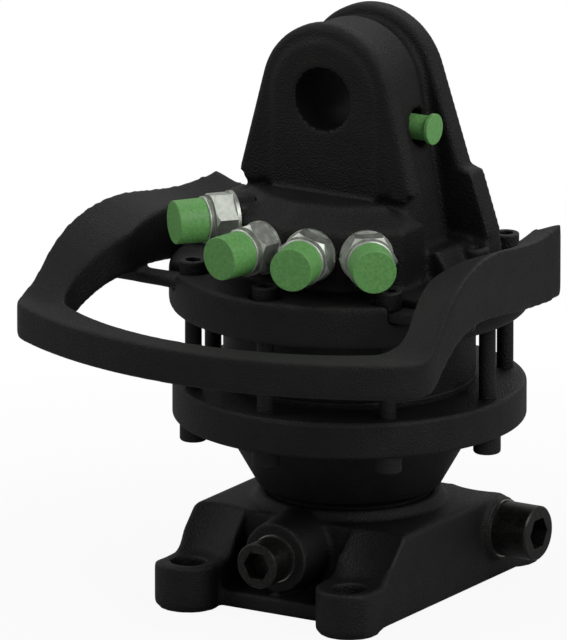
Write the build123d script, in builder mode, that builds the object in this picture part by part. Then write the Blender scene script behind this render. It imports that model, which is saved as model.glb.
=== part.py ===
"""Hydraulic grapple rotator: a vane motor between a pinned lug and a bolted base.

Units are millimetres. Z is the axis of rotation and Z = 0 is the plane that the feet stand on.
-Y is the front, where the hose ports point. The base and the rotor are one body, and everything
that is clamped round the rotor turns about it.
"""

import os
from math import cos, radians, sin

from build123d import *

os.makedirs("parts", exist_ok=True)

# Clearances and overlaps
seat_gap = 0.1  # a pin or screw in its hole
run_gap = 0.05  # a shaft in its bush, or a face that slides on another
free_gap = 0.5  # turning faces that never touch
join_overlap = 2  # how deep one mass of a casting reaches into the next
bore_run_out = 1  # how far a bore goes past the part in it
tolerance = 0.01  # for picking edges by their place
front_angle = -90  # degrees, the direction of the ports

# Base casting
base_half_width = 80
base_top = 58
foot_top = 31
foot_radius = 22
foot_x = 61
foot_y = 100
pad_radius = 19.5
pad_height = 2.5
foot_hole_radius = 11
foot_rim_radius = 17
shoulder_y = 72  # where the top plane starts to fall to the feet
toe_y = 84  # where the fall meets the feet
shoulder_radius = 11
ledge_y = 98
ledge_top = 13.4
front_pocket_half_width = 37
front_pocket_y = 66
pocket_run_out = 16
scoop_angle = 40  # spread of the clearance above each foot
neck_radius = 60
neck_top = 65
neck_seat = 60.5
base_edge_radius = 4
casting_draft = 4  # degrees, on walls that left the mould straight
neck_taper = 21
neck_flare = 5
neck_root = 6  # depth from which the neck grows out of the top plane
front_boss_root = 8
drain_step = 10  # ledge left under the rotor
foot_spot_depth = 1

# Lock screws through the base
front_screw_z = 39
front_seat_y = 93
front_boss_radius = 23
front_head_radius = 15
front_head_length = 21
front_shank_radius = 10
front_socket = 17
side_screw_y = 55
side_screw_z = 36
side_boss_stand = 4  # of its seat, proud of the flank
side_boss_radius = 20.5
side_head_radius = 18
side_head_length = 25
side_shank_radius = 12
side_socket = 19
lock_washer_thickness = 1.5
front_washer_rim = 0.8
side_washer_rim = 1
side_tip_length = 30
head_chamfer_share = 0.06
socket_depth_share = 0.55  # of the head's length

# Rotor
spigot_radius = 44
spigot_bottom = 16
groove_radius = 39
groove_half_width = 11
groove_slant = 4
bowl_foot_radius = 54
bowl_heel_radius = 60
bowl_heel_z = 70
bowl_radius = 84.5
lower_journal_radius = 46
upper_journal_radius = 30
hub_radius = 56
rotor_length = 246
gallery_radius = 5.5
gallery_x = 15
swivel_groove_depth = 4
swivel_groove_width = 8

# Vane motor and the plates clamped round it
ring_bottom = 114.5
ring_radius = 115
ring_thickness = 24.5
stator_height = 48.6
stator_radius = 82
stator_long_radius = 64
stator_joint_groove = 1.5
disc_radius = 117.2
disc_thickness = 29.4
disc_bottom_rounding = 5
disc_top_chamfer = 1.8
ring_rounding = 2.5
vane_count = 6
vane_thickness = 6
vane_root_radius = 42.5
stator_seal_radius = 71.5
stator_seal_section = 1.2
dowel_radius = 3
dowel_length = 20
dowel_circle = 77.2
bush_wall = 3
lower_bush_length = 14
upper_bush_length = 22
thrust_thickness = 4
thrust_wall = 8
shaft_seal_length = 6
shaft_seal_wall = 5.5
swivel_seal_length = 4
swivel_seal_wall = 3

# Clamp screws
clamp_count = 8
clamp_circle = 104
clamp_shank_radius = 5.5
clamp_head_radius = 9
clamp_head_height = 12
clamp_front_sink = 5  # the three front heads sit deeper, clear of the hose fittings
clamp_socket = 10
clamp_nut_height = 11.5
clamp_nut_rounding = 2
spot_face_rim = 1
spot_face_run_out = 8

# Lug and manifold casting, heights above the disc
pin_bore_radius = 20
pin_height = 115
lug_front_y = -34.5
lug_rear_y = 40
panel_depth = 2.5
panel_edge_radius = 2.25
panel_radius = 39
plate_thickness = 13
plate_radius = 49
plate_foot_half_width = 66
plate_foot_height = 58
plate_sag = 9
plate_edge_radius = 4
tab_width = 10
tab_height = 5
tab_depth = 6
tab_drop = 2
web_radius = 46
web_foot_half_width = 71
web_rear_y = 15
web_edge_radius = 5
waist_radius = 42
waist_foot_half_width = 60
flange_front_y = 24
flange_radius = 50
flange_neck_half_width = 70
flange_neck_height = 64
flange_step_half_width = 77
flange_foot_half_width = 93
flange_edge_radius = 3
flange_toe_draft = 3
flange_toe_height = 26
flange_boss_x = 86
flange_boss_y = 15
flange_boss_radius = 9
flange_boss_height = 18
flange_boss_hole_radius = 3.5
plinth_front_y = -18  # casting at the lug's foot, between manifold and flange
plinth_rear_y = 34
plinth_half_width = 90
plinth_top_half_width = 77
plinth_height = 20
manifold_reach = 80  # from the rotor axis to each port face
manifold_height = 39
manifold_shoulder = 10
shoulder_taper = 56
manifold_edge_radius = 4
raised_taper = 40
manifold_rear_y = -20
manifold_half_width = 69
side_port_y = 4
side_port_height = 95
side_port_radius = 12
side_port_thread_radius = 8.2
side_port_depth = 12

# Hose ports, from left to right
port_step = 26  # degrees between neighbours
port_heights = (36, 24, 24, 24)  # above the disc
port_turns = (10, 22, 40, 0)  # how far each hexagon was turned when it was tightened
gallery_bore_radius = 7
adapter_hex = 32
adapter_hex_length = 14
adapter_thread_radius = 13.2
adapter_stub_length = 13
adapter_bore_radius = 8
port_seal_radius = 17.5
port_seal_thickness = 2.5
cap_radius = 14.5
cap_length = 20
cap_skirt = 17
cap_taper = 1
cap_gap = 4
plug_head_radius = 10.2
plug_head_length = 3
plug_reach = 11.5
plug_length = 30

# Hose guard
guard_apex_y = -217
guard_corner_x = 155
guard_corner_y = -168
guard_corner_radius = 32
guard_tip_x = 132
guard_tip_y = 49
guard_inner_apex_y = -197
guard_inner_corner_x = 129
guard_inner_corner_y = -149
guard_inner_corner_radius = 26
guard_waist_x = 112  # the arms are thickest beside the outer ports
guard_waist_y = -88
guard_tip_inner_x = 109
guard_tip_inner_y = 28
relief_outer_x = 160
relief_inner_x = 97.2
guard_slope = 0.38  # how much the arms' top falls for each millimetre inwards
guard_bar_bottom = 184
guard_bar_top = 208
guard_arm_bottom = 208
guard_tip_bottom = 199
guard_arm_top = 255
guard_mid_top = 232.5
guard_mid_share = 0.6
guard_low_top = 248
guard_tip_top = 251
guard_rise_y = -163
guard_mid_y = -127
guard_crest_y = -62
ear_radius = 11
ear_root_radius = 8
ear_thickness = 7
front_ear_reach = 13  # how far each ear's root lies outside the disc
rear_ear_reach = 5

# Levels and places that follow from the sizes above
side_seat_x = base_half_width + side_boss_stand
thrust_outer_radius = lower_journal_radius + free_gap + thrust_wall
ring_top = ring_bottom + ring_thickness
disc_bottom = ring_top + stator_height
disc_top = disc_bottom + disc_thickness
pin_z = disc_top + pin_height
hub_bottom = ring_top + run_gap
hub_top = disc_bottom - run_gap
rotor_top = spigot_bottom + rotor_length
bowl_top = ring_bottom - free_gap
feet = [(x, y) for x in (-foot_x, foot_x) for y in (-foot_y, foot_y)]
port_angles = [(i - 1.5) * port_step for i in range(4)]
clamp_angles = [i * 360 / clamp_count for i in range(clamp_count)]
ear_angles = [angle for angle in clamp_angles if angle % 90 == 45]
adapter_nose_length = adapter_hex_length + cap_gap + cap_skirt - 1
swivel_levels = [disc_top + h for h in (15, 35)]
swivel_seal_levels = [disc_top + h for h in (5, 25, 43)]


def on_circle(radius, angle):
    """Point on a circle about the rotor axis, the angle counted from +X."""
    return radius * cos(radians(angle)), radius * sin(radians(angle))


def arch(radius, foot_half_width, foot_z, y):
    """Outline of a lug wall: a round head on the pin axis with straight tangent flanks."""
    with BuildSketch(Plane.XZ.offset(-y)) as outline:
        with Locations((0, pin_z)):
            Circle(radius)
        with BuildLine():
            Line((-foot_half_width, foot_z), (foot_half_width, foot_z))
        make_hull()
    return outline.sketch


def clamp_seat(angle):
    """Height of the face that a clamp screw's head bears on."""
    return disc_top - (clamp_front_sink if 180 < angle < 360 else 0)


def ear_outline(angle, margin):
    """Plan of a guard ear: a round pad under a clamp screw, drawn out to the arm."""
    x, y = on_circle(clamp_circle, angle)
    root_x = disc_radius + (rear_ear_reach if y > 0 else front_ear_reach)
    root_y = y if y < 0 else guard_tip_y - ear_radius
    with BuildSketch(Plane.XY.offset(clamp_seat(angle) - ear_thickness)) as outline:
        with Locations((x, y)):
            Circle(ear_radius + margin)
        with Locations((root_x if x > 0 else -root_x, root_y)):
            Circle(ear_root_radius + margin)
        make_hull()
    return outline.sketch


def port_plane(index):
    """Seat of one hose port: Z points out along the port and X lies level."""
    turn = radians(port_angles[index])
    seat = Vector(manifold_reach * sin(turn), -manifold_reach * cos(turn), disc_top + port_heights[index])
    return Plane(origin=seat, x_dir=(cos(turn), sin(turn), 0), z_dir=(sin(turn), -cos(turn), 0))


def socket_screw(seat, head_radius, head_length, shank_radius, shank_length, socket):
    """Socket head cap screw whose head stands on the given plane."""
    with BuildPart() as screw:
        with BuildSketch(seat):
            Circle(head_radius)
        extrude(amount=head_length)
        rims = screw.edges().filter_by(GeomType.CIRCLE)
        chamfer(rims, length=head_radius * head_chamfer_share)
        with BuildSketch(seat):
            Circle(shank_radius)
        extrude(amount=-shank_length)
        with BuildSketch(seat.offset(head_length)):
            RegularPolygon(radius=socket / 2, side_count=6, major_radius=False)
        extrude(amount=-head_length * socket_depth_share, mode=Mode.SUBTRACT)
    return screw.part


def washer(seat, outer_radius, inner_radius, thickness):
    """Flat ring that lies on the given plane."""
    with BuildPart() as ring:
        with BuildSketch(seat):
            Circle(outer_radius)
            Circle(inner_radius, mode=Mode.SUBTRACT)
        extrude(amount=thickness)
    return ring.part


def sleeve(bottom, length, inner_radius, wall):
    """Bush or seal round the rotor axis."""
    return washer(Plane.XY.offset(bottom), inner_radius + wall, inner_radius, length)


front_plane = Plane(origin=(0, -front_seat_y, front_screw_z), x_dir=(1, 0, 0), z_dir=(0, -1, 0))
side_plane = Plane(origin=(side_seat_x, side_screw_y, side_screw_z), x_dir=(0, 1, 0), z_dir=(1, 0, 0))

# Base block: flanks that fall in an S from the top plane to four feet
with BuildPart() as base_block:
    with BuildSketch(Plane.YZ.offset(-base_half_width)) as flank:
        with BuildLine():
            reach = foot_y + foot_radius
            fall = FilletPolyline(
                (0, base_top), (shoulder_y, base_top), (toe_y, foot_top), (reach, foot_top),
                radius=shoulder_radius,
            )
            Line(fall @ 1, (reach, pad_height))
            Line((reach, pad_height), (0, pad_height))
            Line((0, pad_height), fall @ 0)
        make_face()
        mirror(about=Plane.YZ)
    extrude(amount=2 * base_half_width)
    with BuildSketch(Plane.XY) as plan:
        Rectangle(2 * base_half_width, 2 * ledge_y)
        with Locations(*feet):
            Circle(foot_radius)
    extrude(amount=base_top, mode=Mode.INTERSECT)
    upper_edges = base_block.edges().group_by(Axis.Z)[-1]
    fillet(upper_edges.filter_by(Axis.Y), base_edge_radius)
    # Clearance for a socket above each foot
    with BuildSketch(Plane.XY.offset(foot_top)):
        with Locations(*feet):
            Circle(pad_radius)
    extrude(amount=base_top, taper=-scoop_angle, mode=Mode.SUBTRACT)
    # Pockets between the feet at both ends
    pocket_reach = foot_y + pocket_run_out
    for end in (-1, 1):
        with BuildSketch(Plane.XY.offset(ledge_top)):
            with Locations((0, end * (front_pocket_y + pocket_reach) / 2)):
                Rectangle(2 * front_pocket_half_width, pocket_reach - front_pocket_y)
        extrude(amount=base_top, taper=-casting_draft, mode=Mode.SUBTRACT)
    # Bosses for the lock screws
    with BuildSketch(front_plane):
        Circle(front_boss_radius)
    extrude(amount=-(front_seat_y - neck_radius + front_boss_root), taper=-casting_draft)
    with BuildSketch(side_plane):
        Circle(side_boss_radius)
    extrude(amount=-(side_seat_x - neck_radius))
    # Neck that takes the rotor
    with BuildSketch(Plane.XY.offset(base_top - neck_root)):
        Circle(neck_radius + neck_flare)
    extrude(amount=neck_top - base_top + neck_root, taper=neck_taper)
    with BuildSketch(Plane.XY.offset(neck_seat)):
        Circle(bowl_foot_radius + seat_gap)
    extrude(amount=neck_top, mode=Mode.SUBTRACT)
    with BuildSketch(Plane.XY.offset(spigot_bottom - free_gap)):
        Circle(spigot_radius + seat_gap)
    extrude(amount=neck_top, mode=Mode.SUBTRACT)
    with BuildSketch(Plane.XY):
        Circle(spigot_radius - drain_step)
    extrude(amount=spigot_bottom, mode=Mode.SUBTRACT)
    # Pads and holes of the feet
    with BuildSketch(Plane.XY):
        with Locations(*feet):
            Circle(pad_radius)
    extrude(amount=pad_height)
    with BuildSketch(Plane.XY.offset(foot_top - foot_spot_depth)):
        with Locations(*feet):
            Circle(foot_rim_radius)
    extrude(amount=base_top, mode=Mode.SUBTRACT)
    with BuildSketch(Plane.XY):
        with Locations(*feet):
            Circle(foot_hole_radius)
    extrude(amount=base_top, mode=Mode.SUBTRACT)
    # Holes of the lock screws
    with BuildSketch(front_plane):
        Circle(front_shank_radius + seat_gap)
    extrude(amount=-front_seat_y, mode=Mode.SUBTRACT)
    with BuildSketch(side_plane):
        Circle(side_shank_radius + seat_gap)
    extrude(amount=-side_seat_x, mode=Mode.SUBTRACT)

# Lock screws: the tip of each reaches into the groove of the rotor's spigot
front_reach = front_seat_y + lock_washer_thickness - groove_radius - free_gap
front_lock_screw = socket_screw(
    front_plane.offset(lock_washer_thickness), front_head_radius, front_head_length,
    front_shank_radius, front_reach, front_socket,
)
front_lock_washer = washer(
    front_plane, front_head_radius + front_washer_rim, front_shank_radius + seat_gap, lock_washer_thickness
)
side_reach = side_boss_stand + side_tip_length
side_lock_screw = socket_screw(
    side_plane.offset(lock_washer_thickness), side_head_radius, side_head_length,
    side_shank_radius, side_reach, side_socket,
)
side_lock_washer = washer(
    side_plane, side_head_radius + side_washer_rim, side_shank_radius + seat_gap, lock_washer_thickness
)

# Rotor shaft: spigot, bowl, vane hub and swivel journal, turned in one piece
with BuildPart() as rotor_shaft:
    with BuildSketch(Plane.XZ):
        with BuildLine():
            Polyline(
                (0, rotor_top), (0, spigot_bottom), (spigot_radius, spigot_bottom),
                (spigot_radius, front_screw_z - groove_half_width - groove_slant),
                (groove_radius, front_screw_z - groove_half_width),
                (groove_radius, front_screw_z + groove_half_width),
                (spigot_radius, front_screw_z + groove_half_width + groove_slant),
                (spigot_radius, neck_seat), (bowl_foot_radius, neck_seat),
                (bowl_foot_radius, neck_top + free_gap),
            )
            heel = ThreePointArc(
                (bowl_foot_radius, neck_top + free_gap),
                ((bowl_foot_radius + bowl_heel_radius) / 2 - 0.8, (neck_top + bowl_heel_z) / 2 + 1),
                (bowl_heel_radius, bowl_heel_z),
            )
            Polyline(
                heel @ 1, (bowl_radius, bowl_top - 1), (bowl_radius - 1, bowl_top),
                (lower_journal_radius, bowl_top), (lower_journal_radius, hub_bottom),
                (hub_radius, hub_bottom), (hub_radius, hub_top), (upper_journal_radius, hub_top),
                (upper_journal_radius, rotor_top - 2), (upper_journal_radius - 2, rotor_top),
                (0, rotor_top),
            )
        make_face()
    revolve(axis=Axis.Z)
    # Slots that the vanes slide in
    with BuildSketch(Plane.XY.offset(hub_bottom)):
        with PolarLocations((vane_root_radius + hub_radius + 2) / 2, vane_count, start_angle=30):
            Rectangle(hub_radius + 2 - vane_root_radius, vane_thickness + 2 * run_gap)
    extrude(amount=hub_top - hub_bottom, mode=Mode.SUBTRACT)
    # Two oilways to the swivel grooves
    for level, side in zip(swivel_levels, (-1, 1)):
        with BuildSketch(Plane.XY.offset(level - swivel_groove_width / 2)):
            Circle(upper_journal_radius + 1)
            Circle(upper_journal_radius - swivel_groove_depth, mode=Mode.SUBTRACT)
        extrude(amount=swivel_groove_width, mode=Mode.SUBTRACT)
        with BuildSketch(Plane.XY.offset(spigot_bottom)):
            with Locations((side * gallery_x, 0)):
                Circle(gallery_radius)
        extrude(amount=level - spigot_bottom, mode=Mode.SUBTRACT)
        with BuildSketch(Plane.YZ.offset(side * gallery_x)):
            with Locations((0, level)):
                Circle(swivel_groove_width / 2 - 0.5)
        extrude(amount=side * upper_journal_radius, mode=Mode.SUBTRACT)

# Vanes, pushed in flush with the hub as they pass the narrow side of the stator
vanes = {}
for i in range(vane_count):
    with BuildPart() as vane:
        with BuildSketch(Plane.XY.offset(hub_bottom)):
            with PolarLocations((vane_root_radius + hub_radius) / 2, 1, start_angle=30 + i * 360 / vane_count):
                Rectangle(hub_radius - vane_root_radius - 2 * run_gap, vane_thickness)
        extrude(amount=hub_top - hub_bottom)
    vanes[f"vane_{i + 1}"] = vane.part

# Lower ring: end plate with seats for the seal, the bush and the thrust washer
with BuildPart() as lower_ring:
    with BuildSketch(Plane.XY.offset(ring_bottom)):
        Circle(ring_radius)
    extrude(amount=ring_thickness)
    fillet(lower_ring.edges().filter_by(GeomType.CIRCLE), ring_rounding)
    seal_top = ring_bottom + shaft_seal_length
    bush_top = seal_top + lower_bush_length
    for bottom, top, radius in (
        (ring_bottom, seal_top, lower_journal_radius + run_gap + shaft_seal_wall),
        (seal_top, ring_top, lower_journal_radius + run_gap + bush_wall),
        (ring_top - thrust_thickness, ring_top, thrust_outer_radius),
    ):
        with BuildSketch(Plane.XY.offset(bottom)):
            Circle(radius)
        extrude(amount=top - bottom, mode=Mode.SUBTRACT)
    with BuildSketch(Plane.XY.offset(ring_bottom)):
        with PolarLocations(clamp_circle, clamp_count):
            Circle(clamp_shank_radius + seat_gap)
    extrude(amount=ring_thickness, mode=Mode.SUBTRACT)
    with BuildSketch(Plane.XY.offset(ring_top - dowel_length / 2)):
        with PolarLocations(dowel_circle, 2, start_angle=90):
            Circle(dowel_radius)
    extrude(amount=dowel_length / 2, mode=Mode.SUBTRACT)

# Stator ring: the oval chamber drives the vanes in and out
with BuildPart() as stator_ring:
    with BuildSketch(Plane.XY.offset(ring_top)):
        Circle(stator_radius)
        Ellipse(stator_long_radius, hub_radius + 6 * run_gap, mode=Mode.SUBTRACT)
    extrude(amount=stator_height)
    with BuildSketch(Plane.XY.offset(ring_top + 4)):
        Circle(stator_radius + 1)
        Circle(stator_radius - stator_joint_groove, mode=Mode.SUBTRACT)
    extrude(amount=stator_joint_groove, mode=Mode.SUBTRACT)
    seal_depth = 2 * stator_seal_section + run_gap
    for bottom in (ring_top, disc_bottom - seal_depth):
        with BuildSketch(Plane.XY.offset(bottom)):
            Circle(stator_seal_radius + stator_seal_section + seat_gap)
            Circle(stator_seal_radius - stator_seal_section - seat_gap, mode=Mode.SUBTRACT)
        extrude(amount=seal_depth, mode=Mode.SUBTRACT)
    with BuildSketch(Plane.XY.offset(ring_top)):
        with PolarLocations(dowel_circle, 2, start_angle=90):
            Circle(dowel_radius)
    extrude(amount=dowel_length / 2, mode=Mode.SUBTRACT)

with BuildPart() as stator_dowels:
    with BuildSketch(Plane.XY.offset(ring_top - dowel_length / 2)):
        with PolarLocations(dowel_circle, 2, start_angle=90):
            Circle(dowel_radius)
    extrude(amount=dowel_length)

stator_seals = {}
for name, level in (("lower_stator_seal", ring_top), ("upper_stator_seal", disc_bottom)):
    side = 1 if level == ring_top else -1
    with BuildPart() as stator_seal:
        with BuildSketch(Plane.XZ):
            with Locations((stator_seal_radius, level + side * (stator_seal_section + run_gap / 2))):
                Circle(stator_seal_section)
        revolve(axis=Axis.Z)
    stator_seals[name] = stator_seal.part

# Bushes and seals on the rotor
lower_bush = sleeve(seal_top, lower_bush_length, lower_journal_radius + run_gap, bush_wall)
shaft_seal = sleeve(ring_bottom, shaft_seal_length, lower_journal_radius + run_gap, shaft_seal_wall)
thrust_washer = sleeve(
    ring_top - thrust_thickness, thrust_thickness, lower_journal_radius + free_gap, thrust_wall
)
upper_bush = sleeve(disc_bottom, upper_bush_length, upper_journal_radius + run_gap, bush_wall)
swivel_seals = {
    f"swivel_seal_{i + 1}": sleeve(
        level - swivel_seal_length / 2, swivel_seal_length, upper_journal_radius + run_gap, swivel_seal_wall
    )
    for i, level in enumerate(swivel_seal_levels)
}

# Front plate of the lug: a flared arch with a raised panel and a sagging lower edge
with BuildPart() as front_plate:
    plate_y = lug_front_y + panel_depth
    plate_foot_z = disc_top + plate_foot_height
    extrude(arch(plate_radius, plate_foot_half_width, plate_foot_z, plate_y), amount=-plate_thickness)
    with BuildSketch(Plane.XZ.offset(-plate_y)):
        with BuildLine():
            sag = ThreePointArc(
                (-plate_foot_half_width, plate_foot_z), (0, plate_foot_z - plate_sag),
                (plate_foot_half_width, plate_foot_z),
            )
            Line(sag @ 1, sag @ 0)
        make_face()
    extrude(amount=-plate_thickness)
    plate_front = front_plate.faces().sort_by(Axis.Y)[0]
    fillet(plate_front.edges(), plate_edge_radius)
    panel_foot_z = plate_foot_z - plate_sag + join_overlap
    extrude(arch(panel_radius, panel_radius, panel_foot_z, plate_y), amount=panel_depth)
    panel_front = front_plate.faces().sort_by(Axis.Y)[0]
    fillet(panel_front.edges(), panel_edge_radius)

# Middle web of the lug, with the narrower waist behind it
with BuildPart() as lug_web:
    web_front_y = plate_y + join_overlap
    extrude(arch(web_radius, web_foot_half_width, disc_top, web_front_y), amount=web_front_y - web_rear_y)
    fillet(lug_web.faces().sort_by(Axis.Y)[-1].edges().sort_by(Axis.Z)[1:], web_edge_radius)
    extrude(arch(waist_radius, waist_foot_half_width, disc_top, web_rear_y - web_edge_radius),
            amount=-(flange_front_y - web_rear_y + web_edge_radius + join_overlap))

# Rear flange of the lug, stepped out to a broad foot
with BuildPart() as rear_flange:
    neck_z = disc_top + flange_neck_height
    extrude(arch(flange_radius, flange_neck_half_width, neck_z, flange_front_y),
            amount=flange_front_y - lug_rear_y)
    with BuildSketch(Plane.XZ.offset(-flange_front_y)):
        with BuildLine():
            Polyline(
                (0, neck_z + 1), (flange_neck_half_width, neck_z + 1),
                (flange_step_half_width, neck_z), (flange_foot_half_width - flange_toe_draft, disc_top + flange_toe_height),
                (flange_foot_half_width, disc_top), (0, disc_top), close=True,
            )
        make_face()
        mirror(about=Plane.YZ)
    extrude(amount=flange_front_y - lug_rear_y)
    for face in (rear_flange.faces().sort_by(Axis.Y)[0], rear_flange.faces().sort_by(Axis.Y)[-1]):
        rim = face.edges().filter_by(lambda edge: edge.center().Z > neck_z + join_overlap)
        fillet(rim, flange_edge_radius)

# Manifold: a fan of four port faces under a sloping shoulder
with BuildPart() as manifold:
    with BuildSketch(Plane.XY.offset(disc_top)) as fan:
        with BuildLine():
            half_step = radians(port_step / 2)
            ridge_radius = manifold_reach / cos(half_step)
            ridges = [on_circle(ridge_radius, front_angle + k * port_step) for k in (-1, 0, 1)]
            last = radians(1.5 * port_step)
            end_x = manifold_half_width
            end_y = (manifold_reach - end_x * sin(last)) / -cos(last)
            Polyline(
                (-end_x, manifold_rear_y), (-end_x, end_y), *ridges, (end_x, end_y),
                (end_x, manifold_rear_y), close=True,
            )
        make_face()
    extrude(amount=manifold_height)
    extrude(fan.sketch.moved(Location((0, 0, manifold_height))), amount=manifold_shoulder, taper=shoulder_taper)
    crease_z = disc_top + manifold_height
    creases = manifold.edges().filter_by_position(Axis.Z, crease_z - tolerance, crease_z + tolerance)
    fillet(creases.filter_by(lambda edge: edge.center().Y < manifold_rear_y - 1), manifold_edge_radius)
    # The left port sits higher than the others, and the casting rises with it
    rise = port_heights[0] - port_heights[1]
    with BuildSketch(Plane.XY.offset(disc_top)):
        with BuildLine():
            Polyline(
                (-end_x, manifold_rear_y), (-end_x, end_y), ridges[0], on_circle(web_radius, front_angle - port_step),
                close=True,
            )
        make_face()
    extrude(amount=manifold_height + rise - manifold_edge_radius)
    extrude(manifold.faces().sort_by(Axis.Z)[-1], amount=manifold_edge_radius, taper=raised_taper)

# Top housing: disc, manifold and lug in one casting, bored for the rotor, the ports and the pin
with BuildPart() as top_housing:
    with BuildSketch(Plane.XY.offset(disc_bottom)):
        Circle(disc_radius)
    extrude(amount=disc_thickness)
    rims = top_housing.edges().filter_by(GeomType.CIRCLE).sort_by(Axis.Z)
    fillet(rims[0], disc_bottom_rounding)
    chamfer(rims[-1], disc_top_chamfer)
    add(manifold.part)
    add(lug_web.part)
    add(front_plate.part)
    add(rear_flange.part)
    # Sloping plinth on each side of the lug's foot
    with BuildSketch(Plane.XZ.offset(-plinth_front_y)):
        with BuildLine():
            Polyline(
                (-plinth_half_width, disc_top), (-plinth_top_half_width, disc_top + plinth_height),
                (plinth_top_half_width, disc_top + plinth_height), (plinth_half_width, disc_top), close=True,
            )
        make_face()
    extrude(amount=plinth_front_y - plinth_rear_y)
    # Tabs at the lower corners of the front plate
    for side in (-1, 1):
        with BuildSketch(Plane.XZ.offset(-plate_y)):
            with Locations((side * (plate_foot_half_width - tab_width), plate_foot_z - tab_drop)):
                Rectangle(tab_width, tab_height)
        extrude(amount=-tab_depth)
    # Small bosses at the toes of the rear flange
    with BuildSketch(Plane.XY.offset(disc_top)):
        with Locations((-flange_boss_x, flange_boss_y), (flange_boss_x, flange_boss_y)):
            Circle(flange_boss_radius)
    extrude(amount=flange_boss_height)
    with BuildSketch(Plane.XY.offset(disc_top + join_overlap)):
        with Locations((-flange_boss_x, flange_boss_y), (flange_boss_x, flange_boss_y)):
            Circle(flange_boss_hole_radius)
    extrude(amount=flange_boss_height, mode=Mode.SUBTRACT)
    # Pin bore
    with BuildSketch(Plane.XZ.offset(-lug_front_y)):
        with Locations((0, pin_z)):
            Circle(pin_bore_radius)
    extrude(amount=lug_front_y - lug_rear_y, mode=Mode.SUBTRACT)
    # Port bores and their oilways to the swivel
    for index in range(4):
        with BuildSketch(port_plane(index)):
            Circle(adapter_thread_radius + seat_gap)
        extrude(amount=-adapter_stub_length - bore_run_out, mode=Mode.SUBTRACT)
        with BuildSketch(port_plane(index)):
            Circle(gallery_bore_radius)
        extrude(amount=-(manifold_reach - upper_journal_radius + join_overlap), mode=Mode.SUBTRACT)
    # Side port under the pin
    side_port_z = disc_top + side_port_height
    with BuildSketch(Plane.YZ):
        with Locations((side_port_y, side_port_z)):
            Circle(side_port_thread_radius + seat_gap)
    extrude(amount=web_foot_half_width, mode=Mode.SUBTRACT)
    side_wall_x = web_radius + (web_foot_half_width - web_radius) * (1 - side_port_height / pin_height)
    with BuildSketch(Plane.YZ.offset(side_wall_x - side_port_depth)):
        with Locations((side_port_y, side_port_z)):
            Circle(side_port_radius)
    extrude(amount=web_foot_half_width, mode=Mode.SUBTRACT)
    # Bores for the rotor, its bush and the swivel seals
    bores = [
        (disc_bottom, rotor_top + free_gap, upper_journal_radius + run_gap),
        (disc_bottom, disc_bottom + upper_bush_length, upper_journal_radius + run_gap + bush_wall),
    ]
    for level in swivel_seal_levels:
        bottom = level - swivel_seal_length / 2
        bores.append((bottom, bottom + swivel_seal_length, upper_journal_radius + run_gap + swivel_seal_wall))
    for bottom, top, radius in bores:
        with BuildSketch(Plane.XY.offset(bottom)):
            Circle(radius)
        extrude(amount=top - bottom, mode=Mode.SUBTRACT)
    # Holes and spot faces of the clamp screws
    with BuildSketch(Plane.XY.offset(disc_bottom)):
        with PolarLocations(clamp_circle, clamp_count):
            Circle(clamp_shank_radius + seat_gap)
    extrude(amount=disc_thickness, mode=Mode.SUBTRACT)
    for angle in clamp_angles:
        with BuildSketch(Plane.XY.offset(clamp_seat(angle))):
            with Locations(on_circle(clamp_circle, angle)):
                Circle(clamp_head_radius + spot_face_rim)
        extrude(amount=clamp_head_height + spot_face_run_out, mode=Mode.SUBTRACT)
    # Pockets in the rim for the guard's ears
    for angle in ear_angles:
        extrude(ear_outline(angle, seat_gap), amount=ear_thickness + clamp_front_sink, mode=Mode.SUBTRACT)

# Top edge of the guard's arms in side view: place, height, and the share of the full inward slope
crest = (
    (guard_rise_y, guard_bar_top, 0), (guard_mid_y, guard_mid_top, guard_mid_share),
    (guard_crest_y, guard_arm_top, 1), (0, guard_low_top, 1), (guard_tip_y, guard_tip_top, 1),
)
crest_tangents = ((1, 0.1), (1, 0.25))
sky = guard_arm_top + 30  # above everything that is cut

# Space above the right arm, whose floor slopes down towards the disc
with BuildPart() as arm_relief:
    for x in (relief_outer_x, relief_inner_x):
        with BuildSketch(Plane.YZ.offset(x)):
            with BuildLine():
                points = []
                for y, z, share in crest:
                    lean = (guard_corner_x - guard_tip_x) / (guard_tip_y - guard_corner_y)
                    outer_x = guard_corner_x - lean * (y - guard_corner_y)
                    points.append((y, z + share * guard_slope * (x - outer_x)))
                slope_line = Spline(*points, tangents=crest_tangents)
                Polyline(slope_line @ 1, (guard_tip_y, sky), (guard_rise_y, sky), slope_line @ 0)
            make_face()
    loft(ruled=True)

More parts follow.
